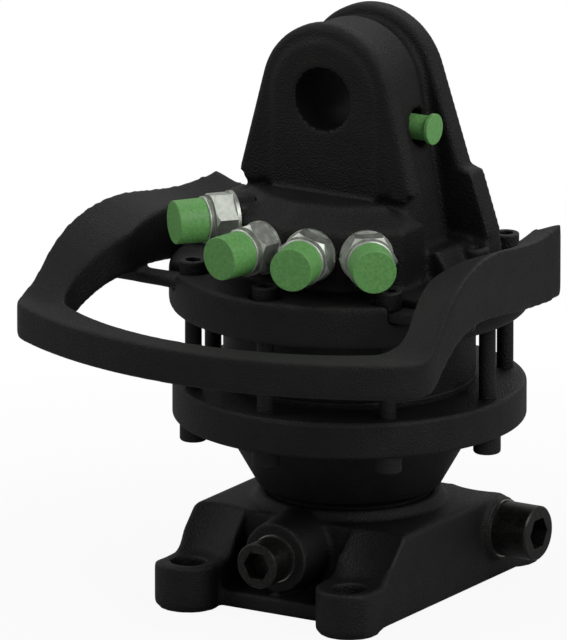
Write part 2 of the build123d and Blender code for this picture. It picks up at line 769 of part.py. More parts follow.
# Hose guard: a bowed front bar whose arms rise past the ports and hug the disc
with BuildPart() as hose_guard:
    with BuildSketch(Plane.XY.offset(guard_bar_bottom)) as band:
        with BuildLine():
            bow = ThreePointArc(
                (-guard_corner_x, guard_corner_y), (0, guard_apex_y), (guard_corner_x, guard_corner_y)
            )
            Polyline(bow @ 1, (guard_tip_x, guard_tip_y), (-guard_tip_x, guard_tip_y), bow @ 0)
        make_face()
        fillet(band.vertices().sort_by(Axis.Y)[:2], guard_corner_radius)
    extrude(amount=sky - guard_bar_bottom)
    with BuildSketch(Plane.XY.offset(guard_bar_bottom)) as gap:
        with BuildLine():
            inner_bow = ThreePointArc(
                (-guard_inner_corner_x, guard_inner_corner_y), (0, guard_inner_apex_y),
                (guard_inner_corner_x, guard_inner_corner_y),
            )
            rim_x = disc_radius + seat_gap
            right_wall = [
                (guard_waist_x, guard_waist_y), (rim_x, guard_crest_y / 2), (rim_x, guard_tip_inner_y / 2),
                (guard_tip_inner_x, guard_tip_inner_y), (guard_tip_inner_x, guard_tip_y + 1),
            ]
            left_wall = [(-x, y) for x, y in reversed(right_wall)]
            Polyline(inner_bow @ 1, *right_wall, *left_wall, inner_bow @ 0)
        make_face()
        fillet(gap.vertices().sort_by(Axis.Y)[:2], guard_inner_corner_radius)
    extrude(amount=sky - guard_bar_bottom, mode=Mode.SUBTRACT)
    # Side view: the bar lies low in front and the arms sweep up over the ports
    with BuildSketch(Plane.YZ.offset(-guard_corner_x)):
        with BuildLine():
            front_y = guard_apex_y - 1
            upper = Spline(*[(y, z) for y, z, share in crest], tangents=crest_tangents)
            lower = Spline(
                (guard_tip_y, guard_tip_bottom), (-20, guard_arm_bottom - 2), (-108, guard_arm_bottom),
                (guard_mid_y - 4, guard_bar_bottom + 12), (guard_rise_y + 8, guard_bar_bottom),
                tangents=((-1, 0.1), (-1, 0)),
            )
            Line(upper @ 1, lower @ 0)
            Polyline(lower @ 1, (front_y, guard_bar_bottom), (front_y, guard_bar_top), upper @ 0)
        make_face()
    extrude(amount=2 * guard_corner_x, mode=Mode.INTERSECT)
    add(arm_relief.part, mode=Mode.SUBTRACT)
    add(arm_relief.part.mirror(Plane.YZ), mode=Mode.SUBTRACT)
    with BuildSketch(Plane.XY.offset(guard_bar_bottom)):
        Circle(disc_radius + seat_gap)
    extrude(amount=disc_top - guard_bar_bottom + seat_gap, mode=Mode.SUBTRACT)
    for angle in ear_angles:
        extrude(ear_outline(angle, 0), amount=ear_thickness)
        with BuildSketch(Plane.XY.offset(clamp_seat(angle) - ear_thickness)):
            with Locations(on_circle(clamp_circle, angle)):
                Circle(clamp_shank_radius + seat_gap)
        extrude(amount=ear_thickness, mode=Mode.SUBTRACT)

# Clamp screws, and the round nuts under the lower ring
with BuildPart() as clamp_screws:
    screw_foot = ring_bottom - clamp_nut_height + 3
    for angle in clamp_angles:
        seat = clamp_seat(angle)
        screw_plane = Plane(origin=(*on_circle(clamp_circle, angle), seat), x_dir=(1, 0, 0), z_dir=(0, 0, 1))
        add(
            socket_screw(
                screw_plane, clamp_head_radius, clamp_head_height, clamp_shank_radius, seat - screw_foot,
                clamp_socket,
            )
        )

with BuildPart() as clamp_nuts:
    with BuildSketch(Plane.XY.offset(ring_bottom)):
        with PolarLocations(clamp_circle, clamp_count):
            Circle(clamp_head_radius)
    extrude(amount=-clamp_nut_height)
    fillet(clamp_nuts.edges().group_by(Axis.Z)[0], clamp_nut_rounding)
    with BuildSketch(Plane.XY.offset(ring_bottom)):
        with PolarLocations(clamp_circle, clamp_count):
            Circle(clamp_shank_radius + run_gap)
    extrude(amount=3 - clamp_nut_height, mode=Mode.SUBTRACT)

# Port fittings: seal, hexagon adapter and push-on cap at each of the four ports
port_parts = {}
for i in range(4):
    seat = port_plane(i)
    port_seal = washer(seat, port_seal_radius, adapter_thread_radius + seat_gap, port_seal_thickness)
    hex_seat = seat.offset(port_seal_thickness)
    with BuildPart() as port_adapter:
        with BuildSketch(hex_seat):
            RegularPolygon(
                radius=adapter_hex / 2, side_count=6, major_radius=False, rotation=port_turns[i]
            )
        extrude(amount=adapter_hex_length)
        corner_cut = Cone(
            adapter_hex / 2 + adapter_hex_length + 0.3, adapter_hex / 2 + 0.3, adapter_hex_length,
            align=(Align.CENTER, Align.CENTER, Align.MIN), mode=Mode.PRIVATE,
        )
        add(hex_seat.location * corner_cut, mode=Mode.INTERSECT)
        with BuildSketch(hex_seat):
            Circle(adapter_thread_radius)
        extrude(amount=-adapter_stub_length - port_seal_thickness)
        with BuildSketch(hex_seat):
            Circle(adapter_thread_radius)
        extrude(amount=adapter_nose_length)
        with BuildSketch(hex_seat.offset(-adapter_stub_length - port_seal_thickness)):
            Circle(adapter_bore_radius)
        extrude(amount=2 * adapter_nose_length, mode=Mode.SUBTRACT)
    cap_seat = hex_seat.offset(adapter_hex_length + cap_gap)
    with BuildPart() as port_cap:
        with BuildSketch(cap_seat):
            Circle(cap_radius)
        extrude(amount=cap_length, taper=cap_taper)
        fillet(port_cap.faces().sort_by(Axis(cap_seat.origin, cap_seat.z_dir))[-1].edges(), 0.8)
        with BuildSketch(cap_seat):
            Circle(adapter_thread_radius + run_gap)
        extrude(amount=cap_skirt, mode=Mode.SUBTRACT)
    port_parts[f"port_seal_{i + 1}"] = port_seal
    port_parts[f"port_adapter_{i + 1}"] = port_adapter.part
    port_parts[f"port_cap_{i + 1}"] = port_cap.part

# Plug of the side port
with BuildPart() as side_plug:
    head_x = side_wall_x + plug_reach
    with BuildSketch(Plane.YZ.offset(head_x)):
        with Locations((side_port_y, side_port_z)):
            Circle(plug_head_radius)
    extrude(amount=-plug_head_length)
    fillet(side_plug.edges().filter_by(GeomType.CIRCLE), 0.6)
    with BuildSketch(Plane.YZ.offset(head_x - plug_head_length)):
        with Locations((side_port_y, side_port_z)):
            Circle(side_port_thread_radius)
    extrude(amount=plug_head_length - plug_length)

pieces = {
    "base_block": base_block.part,
    "front_lock_screw": front_lock_screw,
    "front_lock_washer": front_lock_washer,
    "side_lock_screw": side_lock_screw,
    "side_lock_washer": side_lock_washer,
    "rotor_shaft": rotor_shaft.part,
    **vanes,
    "lower_ring": lower_ring.part,
    "stator_ring": stator_ring.part,
    "stator_dowels": stator_dowels.part,
    **stator_seals,
    "lower_bush": lower_bush,
    "shaft_seal": shaft_seal,
    "thrust_washer": thrust_washer,
    "upper_bush": upper_bush,
    **swivel_seals,
    "top_housing": top_housing.part,
    "hose_guard": hose_guard.part,
    "clamp_screws": clamp_screws.part,
    "clamp_nuts": clamp_nuts.part,
    **port_parts,
    "side_plug": side_plug.part,
}
for name, piece in pieces.items():
    piece.label = name
    export_step(piece, f"parts/{name}.step")
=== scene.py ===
import math

import bmesh
import bpy
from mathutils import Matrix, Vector


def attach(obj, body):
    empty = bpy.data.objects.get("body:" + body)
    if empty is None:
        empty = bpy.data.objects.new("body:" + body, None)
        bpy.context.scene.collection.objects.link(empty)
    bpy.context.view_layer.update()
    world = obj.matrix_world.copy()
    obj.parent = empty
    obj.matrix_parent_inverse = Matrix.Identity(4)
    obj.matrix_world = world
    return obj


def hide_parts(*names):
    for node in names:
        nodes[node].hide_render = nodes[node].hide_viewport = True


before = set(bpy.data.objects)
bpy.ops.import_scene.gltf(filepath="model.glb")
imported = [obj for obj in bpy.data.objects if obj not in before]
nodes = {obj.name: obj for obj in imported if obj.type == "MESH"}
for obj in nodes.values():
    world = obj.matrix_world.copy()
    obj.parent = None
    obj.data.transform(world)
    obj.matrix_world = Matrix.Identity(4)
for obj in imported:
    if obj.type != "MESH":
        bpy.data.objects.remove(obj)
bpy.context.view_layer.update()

scene = bpy.context.scene
scene.view_settings.view_transform = "Standard"

# Camera
# The photograph looks from the right of the front and a little above, through a long lens, so the
# parallels of the object hardly converge.
CAMERA_TURN = math.radians(31.5)
CAMERA_RISE = math.radians(15.3)
CAMERA_DISTANCE = 12.0
CAMERA_TARGET = Vector((-0.0365, -0.0224, 0.1768))
CAMERA_FAR_END = 200
SENSOR_WIDTH = 36
PHOTO_LONG_SIDE = 640
PIXELS_PER_METRE = 1543

camera_data = bpy.data.cameras.new("camera")
camera_data.sensor_width = SENSOR_WIDTH
camera_data.lens = SENSOR_WIDTH * PIXELS_PER_METRE * CAMERA_DISTANCE / PHOTO_LONG_SIDE
camera_data.clip_end = CAMERA_FAR_END
camera = bpy.data.objects.new("camera", camera_data)
scene.collection.objects.link(camera)
sight = Vector((
    math.sin(CAMERA_TURN) * math.cos(CAMERA_RISE),
    -math.cos(CAMERA_TURN) * math.cos(CAMERA_RISE),
    math.sin(CAMERA_RISE),
))
camera.location = CAMERA_TARGET + sight * CAMERA_DISTANCE
camera.rotation_euler = sight.to_track_quat("Z", "Y").to_euler()
scene.camera = camera


# Floor and light
# A white studio floor, one broad soft box high on the right, weaker ones on the left and behind, and
# a white wall beyond the object, which the camera and the bright fittings see.
FLOOR_HALF = 15.0
FLOOR_MATT = "C4C4C4"
FLOOR_GLOW = 0.93
SHADOW_REACH = 0.15
WHITE_REACH = 0.6
WHITE = "FFFFFF"
ROOM_LIGHT = 0.2
MIRRORED_WALL = 0.25


def linear(hex_colour):
    """Turns an sRGB hex colour, such as 2B2C2E, into linear red, green, blue and alpha."""
    values = [int(hex_colour[i:i + 2], 16) / 255 for i in (0, 2, 4)]
    return [v / 12.92 if v <= 0.04045 else ((v + 0.055) / 1.055) ** 2.4 for v in values] + [1.0]


def add_node(tree, kind, values=None, links=None, **settings):
    """Adds a node with its settings, its socket values and its links from other sockets."""
    node = tree.nodes.new(kind)
    for name, value in settings.items():
        setattr(node, name, value)
    for name, value in (values or {}).items():
        node.inputs[name].default_value = value
    for name, source in (links or {}).items():
        tree.links.new(source, node.inputs[name])
    return node


def new_material(name):
    """Makes a material with an empty tree, and returns it with the tree."""
    material = bpy.data.materials.new(name)
    material.use_nodes = True
    material.node_tree.nodes.clear()
    return material, material.node_tree


def soft_box(name, place, width, power):
    """Adds a square lamp, its width in metres and its power in watts, that faces the object's middle."""
    data = bpy.data.lights.new(name, "AREA")
    data.size = width
    data.energy = power
    lamp = bpy.data.objects.new(name, data)
    lamp.location = place
    lamp.rotation_euler = (Vector(place) - CAMERA_TARGET).to_track_quat("Z", "Y").to_euler()
    scene.collection.objects.link(lamp)


floor_mesh = bpy.data.meshes.new("floor")
floor_corners = [(x * FLOOR_HALF, y * FLOOR_HALF, 0) for x, y in ((-1, -1), (1, -1), (1, 1), (-1, 1))]
floor_mesh.from_pydata(floor_corners, [], [(0, 1, 2, 3)])
floor = bpy.data.objects.new("floor", floor_mesh)
scene.collection.objects.link(floor)
white_floor, tree = new_material("matt white studio floor")
seen = add_node(tree, "ShaderNodeLightPath")
place = add_node(tree, "ShaderNodeTexCoord")
matt = add_node(tree, "ShaderNodeBsdfDiffuse", {"Color": linear(FLOOR_MATT)})
glow = add_node(tree, "ShaderNodeEmission", {"Color": linear(WHITE), "Strength": 1.0})
away = add_node(tree, "ShaderNodeVectorMath", None, {0: place.outputs["Object"]}, operation="LENGTH")
# Near the object the floor is matt enough to show the shadow, and farther off it is plain white
fade = add_node(
    tree, "ShaderNodeMapRange",
    {"From Min": SHADOW_REACH, "From Max": WHITE_REACH, "To Min": FLOOR_GLOW, "To Max": 1.0},
    {"Value": away.outputs["Value"]},
)
share = add_node(
    tree, "ShaderNodeMath", None, {0: seen.outputs["Is Camera Ray"], 1: fade.outputs["Result"]},
    operation="MULTIPLY",
)
both = add_node(
    tree, "ShaderNodeMixShader", None, {0: share.outputs[0], 1: matt.outputs[0], 2: glow.outputs[0]},
)
add_node(tree, "ShaderNodeOutputMaterial", None, {"Surface": both.outputs[0]})
floor_mesh.materials.append(white_floor)

# The camera sees the wall as plain white, and the metal mirrors a quarter of it
surround = bpy.data.worlds.new("surround")
scene.world = surround
surround.use_nodes = True
tree = surround.node_tree
tree.nodes.clear()
seen = add_node(tree, "ShaderNodeLightPath")
clear_view = add_node(
    tree, "ShaderNodeMath", None,
    {0: seen.outputs["Is Camera Ray"], 1: seen.outputs["Is Transmission Ray"]}, operation="MAXIMUM",
)
mirrored = add_node(
    tree, "ShaderNodeMath", {1: MIRRORED_WALL}, {0: seen.outputs["Is Glossy Ray"]}, operation="MULTIPLY",
)
brightest = add_node(
    tree, "ShaderNodeMath", None, {0: clear_view.outputs[0], 1: mirrored.outputs[0]}, operation="MAXIMUM",
)
room = add_node(tree, "ShaderNodeBackground", {"Color": linear(WHITE), "Strength": ROOM_LIGHT})
wall = add_node(tree, "ShaderNodeBackground", {"Color": linear(WHITE), "Strength": 1.0})
both = add_node(
    tree, "ShaderNodeMixShader", None, {0: brightest.outputs[0], 1: room.outputs[0], 2: wall.outputs[0]},
)
add_node(tree, "ShaderNodeOutputWorld", None, {"Surface": both.outputs[0]})

soft_box("key", place=(2.3, -0.4, 2.0), width=1.4, power=31)
soft_box("fill", place=(-1.9, -0.8, 2.1), width=1.4, power=14)
soft_box("rim", place=(-0.3, 2.2, 2.1), width=1.0, power=8)


# Base block
# A block of sand-cast ductile iron with four feet, shot-blasted and sprayed semi-gloss black. Its
# edges are soft from the mould, and the sand's grain shows through the one coat of paint.
BASE_VOXEL = 0.0015
BASE_PASSES = 8
SMOOTHING = 0.5
MERGE_DISTANCE = 0.000002
# The sand's marks are about half a millimetre wide, and drawn twice as coarse so that they show
GRAIN = 0.0012
GRAIN_DEPTH = 0.0005
CRUMBS_PER_GRAIN = 1.4
RUN_LENGTH = 0.02
CAST_EDGE = 0.0016
EDGE_SAMPLES = 6
# How far the painted shade in the recesses reaches
RECESS_REACH = 0.03
PAINT_TONES = ("0F0F0F", "181817")
PAINT_SPREAD = (0.35, 0.7)
PAINT_ROUGHNESS = (0.42, 0.64)
# The grey and strength of the lighter arrises, which are partly rubbed paint and partly painted highlight
WORN_AND_HIGHLIGHT_GREY = "4E4E4B"
WEAR_AND_HIGHLIGHT_STRENGTH = 1.6
ARRIS_COSINE = (0.92, 0.995)
RIDGE_POINTINESS = (0.525, 0.6)
# The open share that starts and ends the painted shade in recesses, and its darkest tone
OPEN_SHARE = (0.25, 0.85)
PAINTED_SHADE_TONE = 0.25

cast_iron, tree = new_material("black paint on sand-cast iron")
place = add_node(tree, "ShaderNodeTexCoord")
# Rounds every sharp arris a little, as a mould and a coat of paint do
soft_edge = add_node(tree, "ShaderNodeBevel", {"Radius": CAST_EDGE}, samples=EDGE_SAMPLES)
dimples = add_node(
    tree, "ShaderNodeTexVoronoi", {"Scale": 1 / GRAIN}, {"Vector": place.outputs["Object"]},
    feature="SMOOTH_F1",
)
crumbs = add_node(
    tree, "ShaderNodeTexNoise", {"Scale": CRUMBS_PER_GRAIN / GRAIN, "Detail": 3.0, "Roughness": 0.6},
    {"Vector": place.outputs["Object"]},
)
runs = add_node(
    tree, "ShaderNodeTexNoise", {"Scale": 1 / RUN_LENGTH, "Detail": 3.0}, {"Vector": place.outputs["Object"]},
)
peel = add_node(
    tree, "ShaderNodeMath", None, {0: dimples.outputs["Distance"], 1: crumbs.outputs["Fac"]}, operation="ADD",
)
relief = add_node(
    tree, "ShaderNodeBump", {"Strength": 1.0, "Distance": GRAIN_DEPTH},
    {"Height": peel.outputs[0], "Normal": soft_edge.outputs["Normal"]},
)
tone = add_node(tree, "ShaderNodeValToRGB", None, {"Fac": runs.outputs["Fac"]})
for stop, position, colour in zip(tone.color_ramp.elements, PAINT_SPREAD, PAINT_TONES):
    stop.position = position
    stop.color = linear(colour)
# The paint is thin on the arrises, rubbed to a dusty grey, and this lighter grey is partly painted highlight
# along the edges too
surface = add_node(tree, "ShaderNodeNewGeometry")
turned_away = add_node(
    tree, "ShaderNodeVectorMath", None, {0: soft_edge.outputs["Normal"], 1: surface.outputs["Normal"]},
    operation="DOT_PRODUCT",
)
arris = add_node(
    tree, "ShaderNodeMapRange",
    {"From Min": ARRIS_COSINE[0], "From Max": ARRIS_COSINE[1], "To Min": WEAR_AND_HIGHLIGHT_STRENGTH, "To Max": 0.0},
    {"Value": turned_away.outputs["Value"]},
)
ridge = add_node(
    tree, "ShaderNodeMapRange",
    {"From Min": RIDGE_POINTINESS[0], "From Max": RIDGE_POINTINESS[1], "To Min": 0.0, "To Max": WEAR_AND_HIGHLIGHT_STRENGTH},
    {"Value": surface.outputs["Pointiness"]},
)
cast_skin = add_node(tree, "ShaderNodeAttribute", attribute_name="cast_skin")
cast_ridge = add_node(
    tree, "ShaderNodeMath", None, {0: ridge.outputs["Result"], 1: cast_skin.outputs["Fac"]},
    operation="MULTIPLY",
)
edge = add_node(
    tree, "ShaderNodeMath", None, {0: arris.outputs["Result"], 1: cast_ridge.outputs[0]}, operation="MAXIMUM",
)
wear_and_highlight = add_node(
    tree, "ShaderNodeMath", None, {0: edge.outputs[0], 1: runs.outputs["Fac"]}, operation="MULTIPLY",
)
wear_and_highlight_tone = add_node(
    tree, "ShaderNodeMixRGB", {"Color2": linear(WORN_AND_HIGHLIGHT_GREY)},
    {"Fac": wear_and_highlight.outputs[0], "Color1": tone.outputs["Color"]},
)
# Painted shade: the recesses are made darker, as shade falls in them
recess = add_node(tree, "ShaderNodeAmbientOcclusion", {"Distance": RECESS_REACH}, samples=EDGE_SAMPLES)
painted_shade = add_node(
    tree, "ShaderNodeMapRange",
    {"From Min": OPEN_SHARE[0], "From Max": OPEN_SHARE[1], "To Min": PAINTED_SHADE_TONE, "To Max": 1.0},
    {"Value": recess.outputs["AO"]},
)
shaded_tone = add_node(
    tree, "ShaderNodeVectorMath", None, {0: wear_and_highlight_tone.outputs["Color"], 1: painted_shade.outputs["Result"]},
    operation="MULTIPLY",
)
sheen = add_node(
    tree, "ShaderNodeMapRange", {"To Min": PAINT_ROUGHNESS[0], "To Max": PAINT_ROUGHNESS[1]},
    {"Value": crumbs.outputs["Fac"]},
)
paint = add_node(
    tree, "ShaderNodeBsdfPrincipled", {"IOR": 1.5, "Specular IOR Level": 0.3},
    {
        "Base Color": shaded_tone.outputs["Vector"], "Roughness": sheen.outputs["Result"],
        "Normal": relief.outputs["Normal"],
    },
)
add_node(tree, "ShaderNodeOutputMaterial", None, {"Surface": paint.outputs["BSDF"]})


def recast(name, body, voxel, passes):
    """Draws a CAD solid again as one skin whose arrises are rounded as in a sand mould."""
    mesh = nodes[name].data.copy()
    shell = bmesh.new()
    shell.from_mesh(mesh)
    bmesh.ops.remove_doubles(shell, verts=shell.verts, dist=MERGE_DISTANCE)
    shell.to_mesh(mesh)
    shell.free()
    rough = bpy.data.objects.new(name + "_rough", mesh)
    scene.collection.objects.link(rough)
    skin = rough.modifiers.new("skin", "REMESH")
    skin.mode = "VOXEL"
    skin.voxel_size = voxel
    skin.use_smooth_shade = True
    mould = rough.modifiers.new("mould", "SMOOTH")
    mould.factor = SMOOTHING
    mould.iterations = passes
    poured = bpy.data.meshes.new_from_object(rough.evaluated_get(bpy.context.evaluated_depsgraph_get()))
    bpy.data.objects.remove(rough)
    casting = bpy.data.objects.new(name + "_casting", poured)
    scene.collection.objects.link(casting)
    poured.materials.clear()
    poured.materials.append(cast_iron)
    # Marks the skin as fine enough for the paint's wear and the painted edge highlight to follow its ridges
    skin_mark = poured.attributes.new("cast_skin", "FLOAT", "POINT")
    skin_mark.data.foreach_set("value", [1.0] * len(poured.vertices))
    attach(casting, body)
    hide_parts(name)
    return casting


recast("base_block", "base", BASE_VOXEL, BASE_PASSES)


# Lock screws and washers
# Two large hexagon-socket screws of black-oxide steel clamp the base on the rotor's spigot, each on a
# thin turned washer of bare steel that shows as a bright ring.
STAIN_WIDTH = 0.0025
SCREW_EDGE = 0.0005
SCREW_TONES = ("242322", "3A3937")
SCREW_ROUGHNESS = (0.3, 0.5)
FINE_RELIEF = 0.0001
FINE_SPREAD = (0.3, 0.7)


def dress(material, *names):
    """Gives whole CAD nodes one material."""
    for name in names:
        nodes[name].data.materials.clear()
        nodes[name].data.materials.append(material)


# The oxide skin holds oil, so it is nearly black, with soft stains of uneven gloss
black_oxide, tree = new_material("black-oxide steel")
place = add_node(tree, "ShaderNodeTexCoord")
stains = add_node(
    tree, "ShaderNodeTexNoise", {"Scale": 1 / STAIN_WIDTH, "Detail": 4.0},
    {"Vector": place.outputs["Object"]},
)
tone = add_node(tree, "ShaderNodeValToRGB", None, {"Fac": stains.outputs["Fac"]})
for stop, position, colour in zip(tone.color_ramp.elements, FINE_SPREAD, SCREW_TONES):
    stop.position = position
    stop.color = linear(colour)
oiled = add_node(
    tree, "ShaderNodeMapRange", {"To Min": SCREW_ROUGHNESS[0], "To Max": SCREW_ROUGHNESS[1]},
    {"Value": stains.outputs["Fac"]},
)
soft_edge = add_node(tree, "ShaderNodeBevel", {"Radius": SCREW_EDGE}, samples=EDGE_SAMPLES)
relief = add_node(
    tree, "ShaderNodeBump", {"Strength": 0.3, "Distance": FINE_RELIEF},
    {"Height": stains.outputs["Fac"], "Normal": soft_edge.outputs["Normal"]},
)
steel = add_node(
    tree, "ShaderNodeBsdfPrincipled", {"Metallic": 0.8},
    {
        "Base Color": tone.outputs["Color"], "Roughness": oiled.outputs["Result"],
        "Normal": relief.outputs["Normal"],
    },
)
add_node(tree, "ShaderNodeOutputMaterial", None, {"Surface": steel.outputs["BSDF"]})
dress(black_oxide, "front_lock_screw", "side_lock_screw")

# Bare turned steel is bright and pale, with fine lines from the tool. They are a tenth of a millimetre
# apart, and drawn three times as coarse so that they show. The pattern is squeezed along the upright
# axis, so the lines run round what is turned about it, and cross the lock washers straight.
MARK_WIDTH = 0.004
MARK_SQUEEZE = 12.0
STEEL_TONES = ("8D8B86", "B4B3AE")
STEEL_ROUGHNESS = (0.25, 0.42)

turned_steel, tree = new_material("turned steel")
place = add_node(tree, "ShaderNodeTexCoord")
squeeze = add_node(
    tree, "ShaderNodeMapping", {"Scale": (1.0, 1.0, MARK_SQUEEZE)}, {"Vector": place.outputs["Object"]},
)
marks = add_node(
    tree, "ShaderNodeTexNoise", {"Scale": 1 / MARK_WIDTH, "Detail": 3.0},
    {"Vector": squeeze.outputs["Vector"]},
)
tone = add_node(tree, "ShaderNodeValToRGB", None, {"Fac": marks.outputs["Fac"]})
for stop, position, colour in zip(tone.color_ramp.elements, FINE_SPREAD, STEEL_TONES):
    stop.position = position
    stop.color = linear(colour)
rough = add_node(
    tree, "ShaderNodeMapRange", {"To Min": STEEL_ROUGHNESS[0], "To Max": STEEL_ROUGHNESS[1]},
    {"Value": marks.outputs["Fac"]},
)
relief = add_node(
    tree, "ShaderNodeBump", {"Strength": 0.25, "Distance": FINE_RELIEF}, {"Height": marks.outputs["Fac"]},
)
steel = add_node(
    tree, "ShaderNodeBsdfPrincipled", {"Metallic": 1.0},
    {
        "Base Color": tone.outputs["Color"], "Roughness": rough.outputs["Result"],
        "Normal": relief.outputs["Normal"],
    },
)
add_node(tree, "ShaderNodeOutputMaterial", None, {"Surface": steel.outputs["BSDF"]})
dress(turned_steel, "front_lock_washer", "side_lock_washer")


# Rotor and vanes
# The rotor is turned and ground from one forging, and its bowl is painted with the castings. The
# vanes are ground tool steel that slides in the slots of the hub.
VANES = 6

dress(cast_iron, "rotor_shaft")
dress(turned_steel, *[f"vane_{n + 1}" for n in range(VANES)])


# Lower ring, stator and what lies between
# Ring and stator are turned iron castings, painted outside with the rest. Two steel dowels place
# them, nitrile rings seal their faces, and bronze bushes carry the rotor.
SWIVEL_SEALS = 3
# The mould's grain, far finer than a millimetre, is drawn at 1.1 mm so that it shows
RUBBER_GRAIN = 1 / 900
RUBBER_TONES = ("111111", "1E1E1E")
# Pores of a tenth or two of a millimetre are drawn at 1.4 mm so that they show
BRONZE_PORE = 1 / 700
BRONZE_TONES = ("8A6238", "B98B54")
BRONZE_ROUGHNESS = (0.3, 0.5)

dress(cast_iron, "lower_ring", "stator_ring")
dress(turned_steel, "stator_dowels")

# Moulded rubber is nearly black and dull, with a faint grain
nitrile, tree = new_material("black nitrile rubber")
place = add_node(tree, "ShaderNodeTexCoord")
skin = add_node(
    tree, "ShaderNodeTexNoise", {"Scale": 1 / RUBBER_GRAIN, "Detail": 2.0},
    {"Vector": place.outputs["Object"]},
)
tone = add_node(tree, "ShaderNodeValToRGB", None, {"Fac": skin.outputs["Fac"]})
for stop, colour in zip(tone.color_ramp.elements, RUBBER_TONES):
    stop.color = linear(colour)
relief = add_node(
    tree, "ShaderNodeBump", {"Strength": 0.3, "Distance": FINE_RELIEF}, {"Height": skin.outputs["Fac"]},
)
rubber = add_node(
    tree, "ShaderNodeBsdfPrincipled", {"Roughness": 0.55, "IOR": 1.5},
    {"Base Color": tone.outputs["Color"], "Normal": relief.outputs["Normal"]},
)
add_node(tree, "ShaderNodeOutputMaterial", None, {"Surface": rubber.outputs["BSDF"]})
dress(nitrile, "lower_stator_seal", "upper_stator_seal", "shaft_seal")
dress(nitrile, *[f"swivel_seal_{n + 1}" for n in range(SWIVEL_SEALS)])

# Machined bronze is a warm brown-gold, with darker pores that dull it in spots
bronze, tree = new_material("cast bearing bronze")
place = add_node(tree, "ShaderNodeTexCoord")
pores = add_node(
    tree, "ShaderNodeTexNoise", {"Scale": 1 / BRONZE_PORE, "Detail": 3.0},
    {"Vector": place.outputs["Object"]},
)
tone = add_node(tree, "ShaderNodeValToRGB", None, {"Fac": pores.outputs["Fac"]})
for stop, colour in zip(tone.color_ramp.elements, BRONZE_TONES):
    stop.color = linear(colour)
rough = add_node(
    tree, "ShaderNodeMapRange", {"To Min": BRONZE_ROUGHNESS[0], "To Max": BRONZE_ROUGHNESS[1]},
    {"Value": pores.outputs["Fac"]},
)
relief = add_node(
    tree, "ShaderNodeBump", {"Strength": 0.2, "Distance": FINE_RELIEF}, {"Height": pores.outputs["Fac"]},
)
metal = add_node(
    tree, "ShaderNodeBsdfPrincipled", {"Metallic": 1.0},
    {
        "Base Color": tone.outputs["Color"], "Roughness": rough.outputs["Result"],
        "Normal": relief.outputs["Normal"],
    },
)
add_node(tree, "ShaderNodeOutputMaterial", None, {"Surface": metal.outputs["BSDF"]})
dress(bronze, "lower_bush", "upper_bush", "thrust_washer")


# Top housing
# Disc, manifold and lug are one iron casting, bored for the swivel, the ports and the pin, and
# painted like the base.
TOP_VOXEL = 0.0016
TOP_PASSES = 10
PIN_HEIGHT = 0.332
BORE_REACH = 0.0212
SMEAR_WIDTH = 0.00625
# The bore's near-black tones are painted shade
BORE_SHADE_TONES = ("040404", "0B0A09")
BORE_ROUGHNESS = (0.6, 0.8)

top_casting = recast("top_housing", "housing", TOP_VOXEL, TOP_PASSES)

# The bore for the pin is left unpainted, and is coloured nearly black as painted shade for the shade deep
# inside it; it is dull and mottled
shaded_bore, tree = new_material("bored iron with painted shade")
place = add_node(tree, "ShaderNodeTexCoord")
smears = add_node(
    tree, "ShaderNodeTexNoise", {"Scale": 1 / SMEAR_WIDTH, "Detail": 3.0},
    {"Vector": place.outputs["Object"]},
)
tone = add_node(tree, "ShaderNodeValToRGB", None, {"Fac": smears.outputs["Fac"]})
for stop, colour in zip(tone.color_ramp.elements, BORE_SHADE_TONES):
    stop.color = linear(colour)
rough = add_node(
    tree, "ShaderNodeMapRange", {"To Min": BORE_ROUGHNESS[0], "To Max": BORE_ROUGHNESS[1]},
    {"Value": smears.outputs["Fac"]},
)
relief = add_node(
    tree, "ShaderNodeBump", {"Strength": 0.3, "Distance": FINE_RELIEF}, {"Height": smears.outputs["Fac"]},
)
shaded_bore_surface = add_node(
    tree, "ShaderNodeBsdfPrincipled", {"Specular IOR Level": 0.1},
    {
        "Base Color": tone.outputs["Color"], "Roughness": rough.outputs["Result"],
        "Normal": relief.outputs["Normal"],
    },
)
add_node(tree, "ShaderNodeOutputMaterial", None, {"Surface": shaded_bore_surface.outputs["BSDF"]})
# The faces of the pin bore take the painted shade
top_casting.data.materials.append(shaded_bore)
for face in top_casting.data.polygons:
    if math.hypot(face.center.x, face.center.z - PIN_HEIGHT) < BORE_REACH:
        face.material_index = 1


# Hose guard
# A bent bar of cast iron that keeps branches off the hoses. Its ears lie on the disc's rim under two
# clamp screws on each side.
GUARD_VOXEL = 0.0011
GUARD_PASSES = 32
ARM_END_Y = 0.033
ARM_INNER_X = 0.1125
TIP_PASSES = 50

guard = recast("hose_guard", "housing", GUARD_VOXEL, GUARD_PASSES)
# The free ends of the arms are rounded far more than the rest
shell = bmesh.new()
shell.from_mesh(guard.data)
tips = [v for v in shell.verts if v.co.y > ARM_END_Y and abs(v.co.x) > ARM_INNER_X]
for _ in range(TIP_PASSES):
    bmesh.ops.smooth_vert(
        shell, verts=tips, factor=SMOOTHING, use_axis_x=True, use_axis_y=True, use_axis_z=True,
    )
shell.to_mesh(guard.data)
shell.free()


# Clamp screws and nuts
# Eight socket screws pull ring, stator and top together. They are painted in place, so their heads
# look like the castings.
dress(cast_iron, "clamp_screws", "clamp_nuts")


# Port fittings
# Four hexagon fittings of turned and zinc-plated steel with a clear passivated skin, each on a bonded
# seal. The plate is pale and faintly cloudy.
PORT_FAN = (-39, -13, 13, 39)
PORT_LEVELS = (0.253, 0.241, 0.241, 0.241)
PORT_REACH = 0.080
HEX_FRONT = 0.0965
HEX_EDGE = 0.0004
# The clouds are 4.5 mm wide
CLOUD_WIDTH = 1 / 220
ZINC_TONES = ("B4B9B1", "D6DBD2")
ZINC_ROUGHNESS = (0.4, 0.58)

